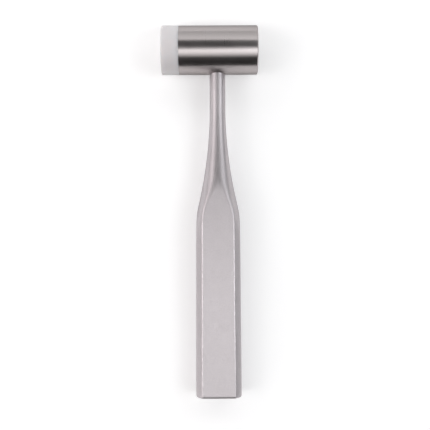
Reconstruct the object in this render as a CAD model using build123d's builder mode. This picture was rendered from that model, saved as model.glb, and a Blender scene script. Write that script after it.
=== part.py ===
from build123d import *
import os
from math import asin, atan, cos, hypot, radians, sin, sqrt

os.makedirs("parts", exist_ok=True)

# Steel head, turned from round bar
head_diameter = 25.0
steel_length = 40.2
face_chamfer = 0.5
face_to_handle = 20.6  # from the steel striking face to the handle's axis

# Nylon striking face with its own threaded stud
nylon_thickness = 9.0
nylon_chamfer = 0.4
nylon_stud_diameter = 10.0
stud_lead_chamfer = 0.8
tapping_run_out = 1.5  # empty thread past the end of each stud
web_between_holes = 3.0  # steel left between the two tapped holes

# Handle, one tube drawn down to a round neck and pressed to eight sides at the grip
handle_length = 178.8  # from the head's axis to the butt
neck_diameter = 8.0
flare_start = 28.6  # from the head's axis
flare_angle = 13.15  # steepest slope of the flare, in degrees
flare_radius = 217.0
wall = 1.2
grip_width_at_shoulder = 22.6
grip_width_at_butt = 23.55
shoulder_distance = 92.0  # where the width at the shoulder is measured
grip_thickness = 15.0
grip_chamfer = 3.2
grip_edge_radius = 1.5

# Butt plate, welded in and ground flush
plate_thickness = 2.0
plate_spigot = 1.5
butt_edge_radius = 1.3

# Joint between the head and the neck
socket_depth = 5.5  # from the head's lowest line to the floor of the socket
neck_stud_diameter = 6.0
neck_stud_thread = 6.0
neck_stud_shank = 22.0

fit_clearance = 0.05

head_radius = head_diameter / 2
neck_radius = neck_diameter / 2
neck_hole_radius = neck_stud_diameter / 2 + fit_clearance
nylon_hole_depth = steel_length - face_to_handle - neck_hole_radius - web_between_holes
nylon_stud_length = nylon_hole_depth - tapping_run_out
neck_end = head_radius - socket_depth
plate_start = handle_length - plate_thickness

# The flare ends just outside the corners of the widest part of the grip
flare_turn = radians(flare_angle)
corner_radius = hypot(grip_width_at_butt / 2, grip_thickness / 2 - grip_chamfer)
shoulder_radius = (corner_radius - neck_radius) / (1 - cos(flare_turn)) - flare_radius

# The mallet lies on its head and on the lower edge of its butt, so the handle slopes
butt_reach = handle_length - butt_edge_radius
butt_drop = grip_thickness / 2 - butt_edge_radius
height_drop = head_radius - butt_edge_radius
lie_angle = asin(height_drop / hypot(butt_reach, butt_drop)) - atan(butt_drop / butt_reach)
butt_overhang = butt_reach * cos(lie_angle) + butt_drop * sin(lie_angle) + butt_edge_radius
overall_length = head_radius + butt_overhang

# Head's axis along X, handle towards -Y, the origin under the middle of the whole mallet
face_x = (steel_length + nylon_thickness) / 2
seat_x = face_x - steel_length
head_y = overall_length / 2 - head_radius
head_start = Plane(origin=(seat_x, head_y, head_radius), z_dir=(1, 0, 0))
handle_plane = Plane(
    origin=(face_x - face_to_handle, head_y, head_radius),
    x_dir=(1, 0, 0),
    z_dir=(0, -sin(lie_angle), cos(lie_angle)),
)
handle_axis = Axis(handle_plane.origin, handle_plane.y_dir)


def across_handle(distance):
    # The plane square to the handle at a distance from the head's axis, facing the butt
    origin = handle_plane.from_local_coords((0, -distance, 0))
    return Plane(origin=origin, x_dir=handle_plane.x_dir, z_dir=-handle_plane.y_dir)


def grip_half_width(distance):
    slope = (grip_width_at_butt - grip_width_at_shoulder) / 2 / (handle_length - shoulder_distance)
    return grip_width_at_butt / 2 - slope * (handle_length - distance)


def handle_form(inset, edge_radius):
    # Neck, flare and shoulder are turned about the handle's axis
    with BuildPart() as turned:
        with BuildSketch(handle_plane):
            with BuildLine():
                neck = Line((neck_radius - inset, 0), (neck_radius - inset, -flare_start))
                flare = JernArc(neck @ 1, neck % 1, flare_radius + inset, flare_angle)
                shoulder = JernArc(flare @ 1, flare % 1, shoulder_radius - inset, -flare_angle)
                butt_corner = ((shoulder @ 1).X, -handle_length)
                Polyline(shoulder @ 1, butt_corner, (0, -handle_length), (0, 0), neck @ 0)
            make_face()
        revolve(axis=handle_axis)

    # The bar has the grip's eight sides and cuts its arched flats out of the flare
    top_half = grip_half_width(0) - inset
    butt_half = grip_half_width(handle_length) - inset
    with BuildPart() as bar:
        with BuildSketch(handle_plane):
            with BuildLine():
                Polyline(
                    (-top_half, 0),
                    (top_half, 0),
                    (butt_half, -handle_length),
                    (-butt_half, -handle_length),
                    close=True,
                )
            make_face()
        extrude(amount=grip_thickness / 2 - inset, both=True)
        long_edges = bar.edges().filter_by(lambda edge: edge.length > 0.9 * handle_length)
        chamfer(long_edges, grip_chamfer - inset * (2 - sqrt(2)))
        if edge_radius > 0:
            fillet(bar.edges().filter_by(lambda edge: edge.length > 0.9 * handle_length), edge_radius)

    with BuildPart() as form:
        add(turned.part)
        add(bar.part, mode=Mode.INTERSECT)
    return form.part


outer_form = handle_form(0, grip_edge_radius)
cavity_form = handle_form(wall, 0)
spigot_form = handle_form(wall + fit_clearance, 0)

with BuildPart() as head:
    with BuildSketch(head_start):
        Circle(head_radius)
    extrude(amount=steel_length)
    chamfer(head.edges().filter_by(GeomType.CIRCLE).sort_by(Axis.X)[-1], face_chamfer)
    # Tapped hole for the nylon face, then the stepped socket for the neck and its stud
    with BuildSketch(head_start):
        Circle(nylon_stud_diameter / 2 + fit_clearance)
    extrude(amount=nylon_hole_depth, mode=Mode.SUBTRACT)
    with BuildSketch(across_handle(neck_end)):
        Circle(neck_radius + fit_clearance)
    extrude(amount=head_diameter, mode=Mode.SUBTRACT)
    with BuildSketch(across_handle(neck_end)):
        Circle(neck_hole_radius)
    extrude(amount=-(neck_stud_thread + tapping_run_out), mode=Mode.SUBTRACT)

with BuildPart() as nylon_face:
    with BuildSketch(head_start):
        Circle(head_radius)
    extrude(amount=-nylon_thickness)
    chamfer(nylon_face.edges().filter_by(GeomType.CIRCLE).sort_by(Axis.X)[0], nylon_chamfer)
    with BuildSketch(head_start):
        Circle(nylon_stud_diameter / 2)
    extrude(amount=nylon_stud_length)
    chamfer(nylon_face.edges().filter_by(GeomType.CIRCLE).sort_by(Axis.X)[-1], stud_lead_chamfer)

with BuildPart() as handle_shell:
    add(outer_form)
    add(cavity_form, mode=Mode.SUBTRACT)
    split(bisect_by=across_handle(neck_end), keep=Keep.TOP)
    split(bisect_by=across_handle(plate_start), keep=Keep.BOTTOM)

# The plate's spigot fills the end of the tube
with BuildPart() as spigot:
    add(spigot_form)
    split(bisect_by=across_handle(plate_start - plate_spigot), keep=Keep.TOP)
    split(bisect_by=across_handle(plate_start), keep=Keep.BOTTOM)

with BuildPart() as butt_plate:
    add(outer_form)
    split(bisect_by=across_handle(plate_start), keep=Keep.TOP)
    fillet(butt_plate.faces().sort_by(Axis.Y)[0].edges(), butt_edge_radius)
    add(spigot.part)

with BuildPart() as neck_stud:
    with BuildSketch(across_handle(neck_end)):
        Circle(neck_radius - wall - fit_clearance)
    extrude(amount=neck_stud_shank)
    with BuildSketch(across_handle(neck_end)):
        Circle(neck_stud_diameter / 2)
    extrude(amount=-neck_stud_thread)
    chamfer(neck_stud.edges().filter_by(GeomType.CIRCLE).sort_by(Axis.Y)[-1], stud_lead_chamfer)

head.part.label = "head"
nylon_face.part.label = "nylon_face"
handle_shell.part.label = "handle_shell"
butt_plate.part.label = "butt_plate"
neck_stud.part.label = "neck_stud"

export_step(head.part, "parts/head.step")
export_step(nylon_face.part, "parts/nylon_face.step")
export_step(handle_shell.part, "parts/handle_shell.step")
export_step(butt_plate.part, "parts/butt_plate.step")
export_step(neck_stud.part, "parts/neck_stud.step")
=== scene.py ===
from math import asin, atan, atan2, cos, hypot, pi, radians, sin, sqrt

import bpy
import bmesh
from mathutils import Matrix, Vector


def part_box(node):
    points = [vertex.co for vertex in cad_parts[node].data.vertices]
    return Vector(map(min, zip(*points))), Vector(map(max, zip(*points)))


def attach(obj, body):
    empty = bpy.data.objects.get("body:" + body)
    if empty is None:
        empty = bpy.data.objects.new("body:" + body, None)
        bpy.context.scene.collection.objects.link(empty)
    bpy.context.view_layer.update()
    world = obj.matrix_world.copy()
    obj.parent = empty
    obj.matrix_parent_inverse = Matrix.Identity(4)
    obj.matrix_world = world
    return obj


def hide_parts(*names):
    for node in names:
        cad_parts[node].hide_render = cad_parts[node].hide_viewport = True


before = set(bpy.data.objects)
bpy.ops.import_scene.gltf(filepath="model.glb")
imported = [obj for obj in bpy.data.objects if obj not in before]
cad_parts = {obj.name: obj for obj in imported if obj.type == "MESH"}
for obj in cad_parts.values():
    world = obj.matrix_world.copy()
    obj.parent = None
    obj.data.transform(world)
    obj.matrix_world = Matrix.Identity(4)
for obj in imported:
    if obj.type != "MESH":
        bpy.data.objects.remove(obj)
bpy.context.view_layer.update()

mm = 0.001
tolerance = 0.001 * mm
weldDistance = 0.0001 * mm
scene = bpy.context.scene

# Where the frame puts the head and the handle
headLow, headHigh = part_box("head")
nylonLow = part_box("nylon_face")[0]
handleLow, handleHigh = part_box("handle_shell")
headRadius = (headHigh.z - headLow.z) / 2
axisY = (headHigh.y + headLow.y) / 2
nylonX = nylonLow.x
seatX = headLow.x
faceX = headHigh.x
handleX = (handleHigh.x + handleLow.x) / 2


# Helpers for meshes

def spinProfile(points, axis, steps):
    # Points are (along, radius) pairs; the spin closes on itself
    bm = bmesh.new()
    if axis == "X":
        verts = [bm.verts.new((along, 0, radius)) for along, radius in points]
        direction = (1, 0, 0)
    else:
        verts = [bm.verts.new((radius, along, 0)) for along, radius in points]
        direction = (0, 1, 0)
    edges = [bm.edges.new(pair) for pair in zip(verts, verts[1:])]
    bmesh.ops.spin(bm, geom=verts + edges, cent=(0, 0, 0), axis=direction, angle=2 * pi,
                   steps=steps, use_merge=True)
    bmesh.ops.remove_doubles(bm, verts=bm.verts, dist=weldDistance)
    return bm


def finishPiece(name, bm, material, sharpAngle=32):
    bmesh.ops.remove_doubles(bm, verts=bm.verts, dist=weldDistance)
    bmesh.ops.recalc_face_normals(bm, faces=bm.faces)
    for face in bm.faces:
        face.smooth = True
    for edge in bm.edges:
        edge.smooth = len(edge.link_faces) != 2 or edge.calc_face_angle() < radians(sharpAngle)
    mesh = bpy.data.meshes.new(name)
    bm.to_mesh(mesh)
    bm.free()
    mesh.materials.append(material)
    piece = bpy.data.objects.new(name, mesh)
    scene.collection.objects.link(piece)
    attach(piece, "root")
    print(name, "has", len(mesh.polygons), "faces")
    return piece


# Helpers for materials

def newMaterial(name):
    material = bpy.data.materials.new(name)
    material.use_nodes = True
    nodes = material.node_tree.nodes
    return material, nodes, material.node_tree.links, nodes["Principled BSDF"]


def objectPlace(nodes):
    return nodes.new("ShaderNodeTexCoord").outputs["Object"]


def noiseOn(nodes, links, place, scale, detail=4.0, roughness=0.6):
    noise = nodes.new("ShaderNodeTexNoise")
    noise.inputs["Scale"].default_value = scale
    noise.inputs["Detail"].default_value = detail
    noise.inputs["Roughness"].default_value = roughness
    links.new(place, noise.inputs["Vector"])
    return noise.outputs["Fac"]


def lengthOf(nodes, links, vector):
    node = nodes.new("ShaderNodeVectorMath")
    node.operation = "LENGTH"
    links.new(vector, node.inputs[0])
    return node.outputs["Value"]


def lathePlace(nodes, links):
    # Changes only along the head and outwards from its axis, as the marks of a turning tool do
    place = objectPlace(nodes)
    across = nodes.new("ShaderNodeVectorMath")
    across.operation = "MULTIPLY_ADD"
    across.inputs[1].default_value = (0, 1, 1)
    across.inputs[2].default_value = (0, -axisY, -headRadius)
    links.new(place, across.inputs[0])
    parts = nodes.new("ShaderNodeSeparateXYZ")
    links.new(place, parts.inputs["Vector"])
    pair = nodes.new("ShaderNodeCombineXYZ")
    links.new(parts.outputs["X"], pair.inputs["X"])
    links.new(lengthOf(nodes, links, across.outputs["Vector"]), pair.inputs["Y"])
    return pair.outputs["Vector"]


def ranged(nodes, links, value, low, high, fromLow=0.3, fromHigh=0.7):
    node = nodes.new("ShaderNodeMapRange")
    node.inputs["From Min"].default_value = fromLow
    node.inputs["From Max"].default_value = fromHigh
    node.inputs["To Min"].default_value = low
    node.inputs["To Max"].default_value = high
    links.new(value, node.inputs["Value"])
    return node.outputs["Result"]


def combined(nodes, links, operation, first, second):
    node = nodes.new("ShaderNodeMath")
    node.operation = operation
    links.new(first, node.inputs[0])
    links.new(second, node.inputs[1])
    return node.outputs["Value"]


def mixedColor(nodes, links, factor, first, second):
    # The first colour may also come out of another node
    node = nodes.new("ShaderNodeMix")
    node.data_type = "RGBA"
    if isinstance(first, bpy.types.NodeSocket):
        links.new(first, node.inputs["A"])
    else:
        node.inputs["A"].default_value = (*first, 1)
    node.inputs["B"].default_value = (*second, 1)
    links.new(factor, node.inputs["Factor"])
    return node.outputs["Result"]


def bumped(nodes, links, height, distance, strength=1.0):
    node = nodes.new("ShaderNodeBump")
    node.inputs["Strength"].default_value = strength
    node.inputs["Distance"].default_value = distance
    links.new(height, node.inputs["Height"])
    return node.outputs["Normal"]


# Turned steel of the head

turnedSteel = {
    "dark": (0.42, 0.388, 0.385),
    "light": (0.50, 0.463, 0.46),
    "roughness": (0.26, 0.29),
    "anisotropy": 0.7,
    "grooveTurn": 0.25,  # the grooves run round the head
    "edgeTint": (0.45, 0.45, 0.45),
    "lineScale": 2400,
    "lineDepth": 0.0006 * mm,
    "smudgeScale": 110,
    "smudge": 0.03,
}


def makeTurnedSteel(look):
    material, nodes, links, shader = newMaterial("turnedSteel")
    shader.inputs["Metallic"].default_value = 1.0
    shader.inputs["Specular Tint"].default_value = (*look["edgeTint"], 1)
    shader.inputs["Anisotropic"].default_value = look["anisotropy"]
    shader.inputs["Anisotropic Rotation"].default_value = look["grooveTurn"]
    tangent = nodes.new("ShaderNodeTangent")
    tangent.direction_type = "RADIAL"
    tangent.axis = "X"
    links.new(tangent.outputs["Tangent"], shader.inputs["Tangent"])
    lines = noiseOn(nodes, links, lathePlace(nodes, links), look["lineScale"], detail=6, roughness=0.75)
    links.new(mixedColor(nodes, links, lines, look["dark"], look["light"]), shader.inputs["Base Color"])
    links.new(bumped(nodes, links, lines, look["lineDepth"]), shader.inputs["Normal"])
    # Handling leaves the polish a little duller in places
    smudges = noiseOn(nodes, links, objectPlace(nodes), look["smudgeScale"], detail=5)
    polish = ranged(nodes, links, lines, *look["roughness"])
    smudged = ranged(nodes, links, smudges, 0, look["smudge"])
    links.new(combined(nodes, links, "ADD", polish, smudged), shader.inputs["Roughness"])
    return material


# Blasted satin steel of the handle

satinSteel = {
    "dark": (0.53, 0.497, 0.511),
    "light": (0.58, 0.544, 0.559),
    "roughness": (0.30, 0.56),
    "edgeTint": (0.65, 0.65, 0.65),
    "mottleScale": 260,
    "grainScale": 2600,
    "grainDepth": 0.008 * mm,
    "grainStrength": 0.6,
    "worn": (0.57, 0.535, 0.55),
    "wornDullness": 0.98,
}


def makeSatinSteel(look):
    material, nodes, links, shader = newMaterial("satinSteel")
    shader.inputs["Metallic"].default_value = 1.0
    shader.inputs["Specular Tint"].default_value = (*look["edgeTint"], 1)
    mottle = noiseOn(nodes, links, objectPlace(nodes), look["mottleScale"], detail=5, roughness=0.65)
    blasted = mixedColor(nodes, links, mottle, look["dark"], look["light"])
    # Hands rub the blasted skin smoother and brighter along the edges, more in some places
    edges = nodes.new("ShaderNodeAttribute")
    edges.attribute_name = "edgeWear"
    patches = ranged(nodes, links, mottle, 0.3, 1.0)
    rub = combined(nodes, links, "MULTIPLY", edges.outputs["Fac"], patches)
    links.new(mixedColor(nodes, links, rub, blasted, look["worn"]), shader.inputs["Base Color"])
    # Blasting leaves fine grains, burnished on their tops and dull between them
    grain = noiseOn(nodes, links, objectPlace(nodes), look["grainScale"], detail=3)
    dullness = ranged(nodes, links, grain, *look["roughness"], fromLow=0.42, fromHigh=0.58)
    rubbed = ranged(nodes, links, rub, 1, look["wornDullness"], fromLow=0, fromHigh=1)
    links.new(combined(nodes, links, "MULTIPLY", dullness, rubbed), shader.inputs["Roughness"])
    grains = bumped(nodes, links, grain, look["grainDepth"], look["grainStrength"])
    links.new(grains, shader.inputs["Normal"])
    return material


# White nylon of the soft face

whiteNylon = {
    "dark": (0.69, 0.667, 0.672),
    "light": (0.735, 0.717, 0.725),
    "cloudScale": 180,
    "roughness": (0.42, 0.52),
    "ior": 1.53,
    "subsurface": 0.8,
    "scatterDepth": 4 * mm,
    "scatterColor": (1.0, 0.9, 0.85),
    "lineScale": 2200,
    "lineDepth": 0.004 * mm,
}


def makeWhiteNylon(look):
    material, nodes, links, shader = newMaterial("whiteNylon")
    shader.inputs["IOR"].default_value = look["ior"]
    shader.inputs["Subsurface Weight"].default_value = look["subsurface"]
    shader.inputs["Subsurface Scale"].default_value = look["scatterDepth"]
    shader.inputs["Subsurface Radius"].default_value = look["scatterColor"]
    cloud = noiseOn(nodes, links, objectPlace(nodes), look["cloudScale"])
    links.new(mixedColor(nodes, links, cloud, look["dark"], look["light"]), shader.inputs["Base Color"])
    lines = noiseOn(nodes, links, lathePlace(nodes, links), look["lineScale"])
    links.new(ranged(nodes, links, lines, *look["roughness"]), shader.inputs["Roughness"])
    links.new(bumped(nodes, links, lines, look["lineDepth"]), shader.inputs["Normal"])
    return material


steelTurned = makeTurnedSteel(turnedSteel)
steelSatin = makeSatinSteel(satinSteel)
nylon = makeWhiteNylon(whiteNylon)
print("materials are made")


# Head and nylon face, turned about the head's axis

headPlace = Matrix.Translation((0, axisY, headRadius))


def ringEdges(bm, alongX, radius):
    found = []
    for edge in bm.edges:
        ends = [vert.co for vert in edge.verts]
        off = [max(abs(co.x - alongX), abs(hypot(co.y, co.z) - radius)) for co in ends]
        if max(off) < tolerance:
            found.append(edge)
    return found


def bevelEdges(bm, edges, width, segments):
    bmesh.ops.bevel(bm, geom=edges, offset=width, offset_type="OFFSET", affect="EDGES",
                    segments=segments, profile=0.5, material=-1)


headShape = {
    "chamfer": 0.5 * mm,
    "edgeBreak": 0.06 * mm,
    "breakSegments": 2,
    "steps": 288,
}


def makeHead(shape):
    chamferX = faceX - shape["chamfer"]
    chamferRadius = headRadius - shape["chamfer"]
    profile = [(seatX, 0), (seatX, headRadius), (chamferX, headRadius), (faceX, chamferRadius), (faceX, 0)]
    bm = spinProfile(profile, "X", shape["steps"])
    corners = ringEdges(bm, chamferX, headRadius) + ringEdges(bm, faceX, chamferRadius)
    bevelEdges(bm, corners, shape["edgeBreak"], shape["breakSegments"])
    bm.transform(headPlace)
    head = finishPiece("steelHead", bm, steelTurned)
    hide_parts("head")


nylonShape = {
    "rounding": 0.45 * mm,
    "roundingSegments": 5,
    "steps": 288,
}


def makeNylonFace(shape):
    profile = [(nylonX, 0), (nylonX, headRadius), (seatX, headRadius), (seatX, 0)]
    bm = spinProfile(profile, "X", shape["steps"])
    bevelEdges(bm, ringEdges(bm, nylonX, headRadius), shape["rounding"], shape["roundingSegments"])
    bm.transform(headPlace)
    face = finishPiece("nylonFace", bm, nylon)
    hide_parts("nylon_face")


makeHead(headShape)
makeNylonFace(nylonShape)
print("the head is made")


# Handle: turned about its own axis, then pressed flat on eight sides; the butt plate is its last slice

handleShape = {
    "length": 178.8 * mm,  # from the head's axis, as all distances here
    "socketFloor": 7 * mm,
    "neckRadius": 4.0 * mm,
    "flareStart": 28.6 * mm,
    "flareAngle": radians(13.15),
    "flareRadius": 217 * mm,
    "shoulder": 92 * mm,
    "widthAtShoulder": 22.6 * mm,
    "widthAtButt": 23.55 * mm,
    "thickness": 15 * mm,
    "chamfer": 3.2 * mm,
    "edgeBlend": 0.34 * mm,
    "archBlend": 0.8 * mm,
    "wearWidth": 0.4 * mm,
    "plate": 2 * mm,
    "buttRounding": 1.3 * mm,
    "roundingTurn": 10,  # degrees between two rings of the rounding
    "archesFrom": 62 * mm,
    "archesTo": 104 * mm,
    "neckStep": 7 * mm,
    "flareStep": 1.5 * mm,
    "archStep": 0.5 * mm,
    "gripStep": 12 * mm,
    "steps": 432,
    "halvings": 18,
}


def placeHandle(shape):
    # The mallet lies on its head and on the lower edge of its butt, so the handle slopes
    rounding = shape["buttRounding"]
    reach = shape["length"] - rounding
    buttDrop = shape["thickness"] / 2 - rounding
    lieAngle = asin((headRadius - rounding) / hypot(reach, buttDrop)) - atan(buttDrop / reach)
    return Matrix.Translation((handleX, axisY, headRadius)) @ Matrix.Rotation(lieAngle, 4, "X")


def flareRadiusAt(shape, distance):
    # Neck, concave flare and convex shoulder, each tangent to the next
    corner = hypot(shape["widthAtButt"] / 2, shape["thickness"] / 2 - shape["chamfer"])
    bothRadii = (corner - shape["neckRadius"]) / (1 - cos(shape["flareAngle"]))
    flare = shape["flareRadius"]
    shoulder = bothRadii - flare
    flareEnd = shape["flareStart"] + flare * sin(shape["flareAngle"])
    shoulderEnd = shape["flareStart"] + bothRadii * sin(shape["flareAngle"])
    if distance <= shape["flareStart"]:
        return shape["neckRadius"]
    if distance <= flareEnd:
        past = distance - shape["flareStart"]
        return shape["neckRadius"] + flare - sqrt(flare ** 2 - past ** 2)
    if distance <= shoulderEnd:
        left = shoulderEnd - distance
        return corner - shoulder + sqrt(shoulder ** 2 - left ** 2)
    return corner


def sectionSides(shape, distance):
    # Half the grip's width and thickness, and the turned form's radius
    taper = (shape["widthAtButt"] - shape["widthAtShoulder"]) / 2 / (shape["length"] - shape["shoulder"])
    halfWidth = shape["widthAtButt"] / 2 - taper * (shape["length"] - distance)
    return halfWidth, shape["thickness"] / 2, flareRadiusAt(shape, distance)


def fromSides(shape, radius, angle, sides):
    # How far a point stands out of the grip's side, top, slanted side and turned form
    across = radius * abs(cos(angle))
    up = radius * abs(sin(angle))
    halfWidth, halfThickness, turned = sides
    slant = (across + up - halfWidth - halfThickness + shape["chamfer"]) / sqrt(2)
    return across - halfWidth, up - halfThickness, slant, radius - turned


def softMax(first, second, blend):
    # The larger of two distances, rounded where they meet
    overlap = max(blend - abs(first - second), 0) / blend
    return max(first, second) + overlap * overlap * blend / 4


def outside(shape, radius, angle, sides, inset):
    side, top, slant, turned = fromSides(shape, radius, angle, sides)
    blend = shape["edgeBlend"]
    grip = softMax(softMax(side, top, blend), slant, blend)
    return softMax(grip, turned, shape["archBlend"]) + inset


def sectionRadius(shape, sides, angle, inset):
    # Halves the gap around the section's outline until it is found
    low, high = 0.0, sides[2]
    if outside(shape, high, angle, sides, inset) <= 0:
        return high
    for _ in range(shape["halvings"]):
        middle = (low + high) / 2
        if outside(shape, middle, angle, sides, inset) > 0:
            high = middle
        else:
            low = middle
    return (low + high) / 2


def edgeWear(shape, radius, angle, sides):
    # 1 on an edge between two sides, 0 from the given width onwards
    nearest = sorted(fromSides(shape, radius, angle, sides))
    return max(0, 1 - (nearest[-1] - nearest[-2]) / shape["wearWidth"])


def buttInset(shape, distance):
    # How far the rounded end draws the section in
    rounding = shape["buttRounding"]
    intoButt = distance - (shape["length"] - rounding)
    if intoButt <= 0:
        return 0
    return rounding - sqrt(max(rounding ** 2 - intoButt ** 2, 0))


def pressFlats(bm, shape):
    wear = bm.verts.layers.float.new("edgeWear")
    found = {}  # the section is the same in its four quarters
    for vert in bm.verts:
        if hypot(vert.co.x, vert.co.z) < tolerance:
            continue
        distance = -vert.co.y
        angle = atan2(vert.co.z, vert.co.x)
        key = (round(distance, 7), round(abs(cos(angle)), 6))
        if key not in found:
            sides = sectionSides(shape, distance)
            radius = sectionRadius(shape, sides, angle, buttInset(shape, distance))
            found[key] = (radius, edgeWear(shape, radius, angle, sides))
        radius, vert[wear] = found[key]
        vert.co.x = radius * cos(angle)
        vert.co.z = radius * sin(angle)


def stations(first, last, step):
    count = max(1, round((last - first) / step))
    return [first + (last - first) * n / count for n in range(count)]


def pressedForm(shape, distances):
    # A closed slice of the handle with a ring of points at each distance
    profile = [(-distances[0], 0)]
    profile += [(-distance, flareRadiusAt(shape, distance)) for distance in distances]
    profile += [(-distances[-1], 0)]
    bm = spinProfile(profile, "Y", shape["steps"])
    pressFlats(bm, shape)
    bm.transform(placeHandle(shape))
    return bm


def makeHandle(shape):
    plateStart = shape["length"] - shape["plate"]
    distances = stations(shape["socketFloor"], shape["flareStart"], shape["neckStep"])
    distances += stations(shape["flareStart"], shape["archesFrom"], shape["flareStep"])
    distances += stations(shape["archesFrom"], shape["archesTo"], shape["archStep"])
    distances += stations(shape["archesTo"], plateStart, shape["gripStep"]) + [plateStart]
    tube = finishPiece("handleTube", pressedForm(shape, distances), steelSatin)
    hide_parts("handle_shell")


def makeButtPlate(shape):
    rounding = shape["buttRounding"]
    roundingStart = shape["length"] - rounding
    distances = [shape["length"] - shape["plate"]]
    for turn in range(0, 91, shape["roundingTurn"]):
        distances.append(roundingStart + rounding * sin(radians(turn)))
    plate = finishPiece("buttPlate", pressedForm(shape, distances), steelSatin)
    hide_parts("butt_plate")


makeHandle(handleShape)
makeButtPlate(handleShape)
print("the handle is made")

# The neck's stud is hidden and keeps its CAD mesh
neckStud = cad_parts["neck_stud"]
neckStud.data.materials.clear()
neckStud.data.materials.append(steelTurned)


# Floor

floorLook = {
    "size": 4.0,
    "color": (0.95, 0.95, 0.95),
    "speckle": 0.01,
    "speckleScale": 40,
    "roughness": 0.9,
    "lift": 0.2,
    "fadeFrom": 0.5,
    "whiteFrom": 1.3,
}


def seenDirectly(nodes, links):
    # 1 for camera, glossy and transmission rays, 0 for the light that bounces
    path = nodes.new("ShaderNodeLightPath")
    result = path.outputs["Is Camera Ray"]
    for other in ("Is Glossy Ray", "Is Transmission Ray"):
        result = combined(nodes, links, "MAXIMUM", result, path.outputs[other])
    return result


def makePaleFloor(look):
    material, nodes, links, shader = newMaterial("paleFloor")
    shader.inputs["Roughness"].default_value = look["roughness"]
    shader.inputs["Specular IOR Level"].default_value = 0.0
    speckle = noiseOn(nodes, links, objectPlace(nodes), look["speckleScale"])
    paler = tuple(min(1, value + look["speckle"]) for value in look["color"])
    links.new(mixedColor(nodes, links, speckle, look["color"], paler), shader.inputs["Base Color"])
    # The camera, mirrors and glass see the floor a little lifted, so it is white and keeps its shadow.
    # Far out, past the lamps, it goes over into plain white
    farOut = lengthOf(nodes, links, objectPlace(nodes))
    lift = ranged(nodes, links, farOut, look["lift"], 1, look["fadeFrom"], look["whiteFrom"])
    glow = nodes.new("ShaderNodeEmission")
    links.new(combined(nodes, links, "MULTIPLY", lift, seenDirectly(nodes, links)), glow.inputs["Strength"])
    both = nodes.new("ShaderNodeAddShader")
    links.new(shader.outputs["BSDF"], both.inputs[0])
    links.new(glow.outputs["Emission"], both.inputs[1])
    links.new(both.outputs["Shader"], nodes["Material Output"].inputs["Surface"])
    return material


def makeFloor(look):
    bm = bmesh.new()
    bmesh.ops.create_grid(bm, x_segments=1, y_segments=1, size=look["size"] / 2)
    mesh = bpy.data.meshes.new("floor")
    bm.to_mesh(mesh)
    bm.free()
    mesh.materials.append(makePaleFloor(look))
    floor = bpy.data.objects.new("floor", mesh)
    scene.collection.objects.link(floor)


makeFloor(floorLook)


# Lamps and the room; angles are from straight up, and the overhead strips go on towards the handle

lampLook = {
    "overhead": {"first": 9, "step": 7, "strips": 5, "peak": 1.7, "fade": 34, "edge": 0.45},
    "back": {"first": 42, "step": 9, "strips": 6, "top": 1.1, "bottom": 0.65},
    "stripDistance": 2.2,
    "stripLength": 4.4,
    "sideDistance": 1.8,
    "leftColor": (1.0, 0.955, 0.96),
    "rightColor": (0.955, 0.975, 1.0),
    "room": 0.025,
}

# Panels beside the mallet: a shift is where one stands along the mallet, a length how far it reaches
leftPanels = {
    "high": {"angle": -38, "spread": 36, "radiance": 1.0, "shift": -0.1, "length": 0.8},
    "main": {"angle": -59, "spread": 42, "radiance": 1.5, "shift": -0.15, "length": 1.2},
    "front": {"angle": -74, "spread": 32, "radiance": 2.0, "shift": -1.2, "length": 0.7},
    "back": {"angle": -62, "spread": 42, "radiance": 1.1, "shift": 1.3, "length": 1.5},
}
rightPanels = {
    "high": {"angle": 36, "spread": 36, "radiance": 1.0, "shift": -0.1, "length": 0.6},
    "main": {"angle": 50, "spread": 42, "radiance": 1.4, "shift": -0.15, "length": 1.0},
    "back": {"angle": 52, "spread": 42, "radiance": 1.3, "shift": 1.2, "length": 1.2},
}


def widthOfSpread(distance, spread):
    return 2 * distance * sin(radians(spread / 2))


def makeLamp(name, place, target, size, radiance, color=(1, 1, 1)):
    # Radiance 1 shows as plain white in a mirror
    data = bpy.data.lights.new(name, "AREA")
    data.shape = "RECTANGLE"
    data.size, data.size_y = size
    data.energy = radiance * pi * size[0] * size[1]
    data.color = color
    lamp = bpy.data.objects.new(name, data)
    lamp.location = place
    lamp.rotation_euler = (Vector(target) - Vector(place)).to_track_quat("-Z", "Y").to_euler()
    scene.collection.objects.link(lamp)


def makeStrip(name, look, angle, spread, radiance):
    # A long strip across the mallet; below 0 degrees it hangs on the handle's side of the head
    distance = look["stripDistance"]
    place = (0, axisY + distance * sin(radians(angle)), distance * cos(radians(angle)))
    size = (look["stripLength"], widthOfSpread(distance, spread))
    makeLamp(name, place, (0, axisY, headRadius), size, radiance)


def makeOverhead(look):
    # A dimmer edge over the head, then brightest and fading towards the handle
    overhead = look["overhead"]
    step = overhead["step"]
    makeStrip("overheadEdge", look, step - overhead["first"], step, overhead["edge"])
    for n in range(overhead["strips"]):
        radiance = overhead["peak"] * cos(pi / 2 * n * step / overhead["fade"])
        makeStrip("overhead", look, -overhead["first"] - n * step, step, radiance)


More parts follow.
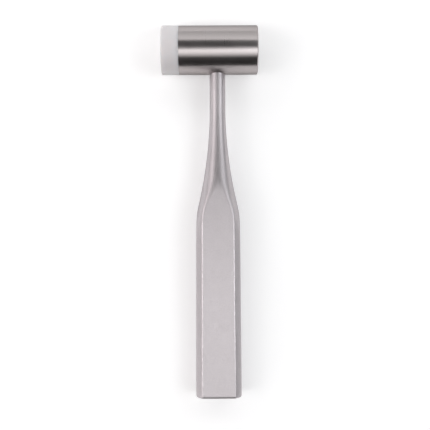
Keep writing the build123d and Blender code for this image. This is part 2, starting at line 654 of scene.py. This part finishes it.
def makeBack(look):
    # From high up down to near the floor, behind the head
    back = look["back"]
    for n in range(back["strips"]):
        downwards = n / (back["strips"] - 1)
        radiance = back["top"] + downwards * (back["bottom"] - back["top"])
        makeStrip("back", look, back["first"] + n * back["step"], back["step"], radiance)


def makePanels(side, look, panels, color):
    distance = look["sideDistance"]
    for name, panel in panels.items():
        angle = radians(panel["angle"])
        place = (distance * sin(angle), panel["shift"], distance * cos(angle))
        size = (panel["length"], widthOfSpread(distance, panel["spread"]))
        makeLamp(side + name.capitalize(), place, (0, panel["shift"], 0), size, panel["radiance"], color)


def makeRoom(strength):
    # Dim for the object, white for the camera
    world = bpy.data.worlds.new("studio")
    scene.world = world
    world.use_nodes = True
    nodes = world.node_tree.nodes
    links = world.node_tree.links
    room = nodes["Background"]
    white = nodes.new("ShaderNodeBackground")
    for background, glow in ((room, strength), (white, 1.0)):
        background.inputs["Color"].default_value = (1, 1, 1, 1)
        background.inputs["Strength"].default_value = glow
    path = nodes.new("ShaderNodeLightPath")
    mix = nodes.new("ShaderNodeMixShader")
    links.new(path.outputs["Is Camera Ray"], mix.inputs[0])
    links.new(room.outputs[0], mix.inputs[1])
    links.new(white.outputs[0], mix.inputs[2])
    links.new(mix.outputs[0], nodes["World Output"].inputs["Surface"])


makeOverhead(lampLook)
makeBack(lampLook)
makePanels("left", lampLook, leftPanels, lampLook["leftColor"])
makePanels("right", lampLook, rightPanels, lampLook["rightColor"])
makeRoom(lampLook["room"])


# Camera, straight above the mallet

cameraLook = {
    "x": 2.41 * mm,
    "belowHead": 84.67 * mm,
    "aboveAxis": 410 * mm,
    "focalPixels": 797.5,
    "pixelsAcross": 430,
    "sensor": 36,
    "roll": radians(-0.3),
}


def makeCamera(look):
    data = bpy.data.cameras.new("camera")
    data.sensor_width = look["sensor"]
    data.lens = look["sensor"] * look["focalPixels"] / look["pixelsAcross"]
    data.clip_start = 10 * mm
    camera = bpy.data.objects.new("camera", data)
    camera.location = (look["x"], axisY - look["belowHead"], headRadius + look["aboveAxis"])
    camera.rotation_euler = (0, 0, look["roll"])
    scene.collection.objects.link(camera)
    scene.camera = camera


makeCamera(cameraLook)
scene.view_settings.view_transform = "Standard"
print("floor, lamps and camera are set")
